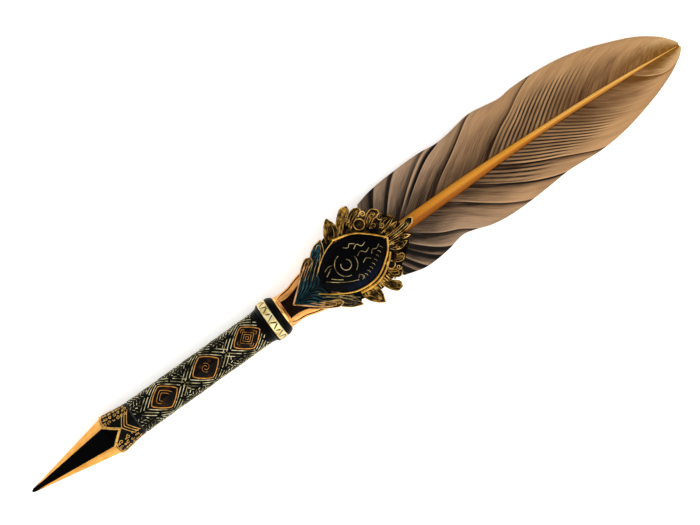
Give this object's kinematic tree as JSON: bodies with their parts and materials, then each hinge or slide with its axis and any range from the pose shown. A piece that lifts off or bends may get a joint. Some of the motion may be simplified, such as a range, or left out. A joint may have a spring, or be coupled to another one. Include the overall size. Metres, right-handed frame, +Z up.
{
  "type": "quill pen",
  "caption": "Ornamental quill pen with a dip nib and feed, a patterned black barrel, an engraved ring, a shield crest with gold leaves and a brown feather that pulls out.",
  "frame": {"origin": "middle of the pen's length and width on the surface it lies on, under the pen's axis, which is 7 mm up", "axes": "+X from the nib to the tip of the feather, +Z up, out of the face of the crest, +Y to the left-hand vane"},
  "size_m": [0.25, 0.0342, 0.014],
  "materials": {
    "gold_plate": "satin gold plate, polished on edges",
    "black_feed": "gloss black",
    "spring_steel": "brushed",
    "brass": "plain turned brass",
    "black_lacquer": "gloss black lacquer with raised gold wire",
    "seal_rubber": "matte",
    "dark_enamel": "gloss fired enamel",
    "blue_enamel": "translucent teal enamel",
    "pale_gold": "satin pale gold, blackened in its cuts",
    "antique_gold": "antiqued gold, dark in the hollows",
    "steel": "polished steel",
    "cork": "matte cork",
    "quill": "amber horn, semi-gloss",
    "vane": "brown barbs with a soft sheen"
  },
  "bodies": {
    "barrel": {"barrel_bush": "brass", "barrel_tube": "brass", "barrel_sleeve": "black_lacquer", "barrel_lozenges": "dark_enamel", "lozenge_rims": "gold_plate", "barrel_plug": "brass", "engraved_ring": "pale_gold", "black_bead": "black_lacquer", "neck_ring": "gold_plate", "neck_stud": "steel", "neck_frame": "gold_plate", "neck_panel_front": "dark_enamel", "neck_panel_back": "dark_enamel", "quill_liner": "cork", "crest_back_plate": "antique_gold", "crest_front_plate": "antique_gold", "crest_rim": "gold_plate", "crest_shield_enamel": "black_lacquer", "crest_chevron_enamel": "blue_enamel", "crest_motif": "pale_gold", "crest_leaves_left": "antique_gold", "crest_leaves_right": "antique_gold", "crest_top_leaf": "antique_gold", "crest_screws": "steel"},
    "seal": {"section_seal": "seal_rubber"},
    "section": {"section_collar": "antique_gold", "section_core": "brass", "nib_grip": "spring_steel"},
    "nib_unit": {"nib": "gold_plate", "feed": "black_feed"},
    "feather": {"quill_ferrule": "brass", "quill_shaft": "quill", "vane_left": "vane", "vane_right": "vane"}
  },
  "joints": [
    {"name": "section_advance", "type": "slide", "parent": "barrel", "child": "seal", "axis": [-1, 0, 0], "range_m": [0, 0.0045]},
    {"name": "section_turn", "type": "hinge", "parent": "seal", "child": "section", "pos_m": [-0.0839, 0, 0.007], "axis": [-1, 0, 0], "range_deg": [0, 2160]},
    {"name": "nib_pull", "type": "slide", "parent": "section", "child": "nib_unit", "axis": [-1, 0, 0], "range_m": [0, 0.009]},
    {"name": "feather_pull", "type": "slide", "parent": "barrel", "child": "feather", "axis": [1, 0, 0], "range_m": [0, 0.018]}
  ],
  "couplings": [
    {"joint": "section_advance", "follows": "section_turn", "m_per_rad": 0.00011937}
  ]
}
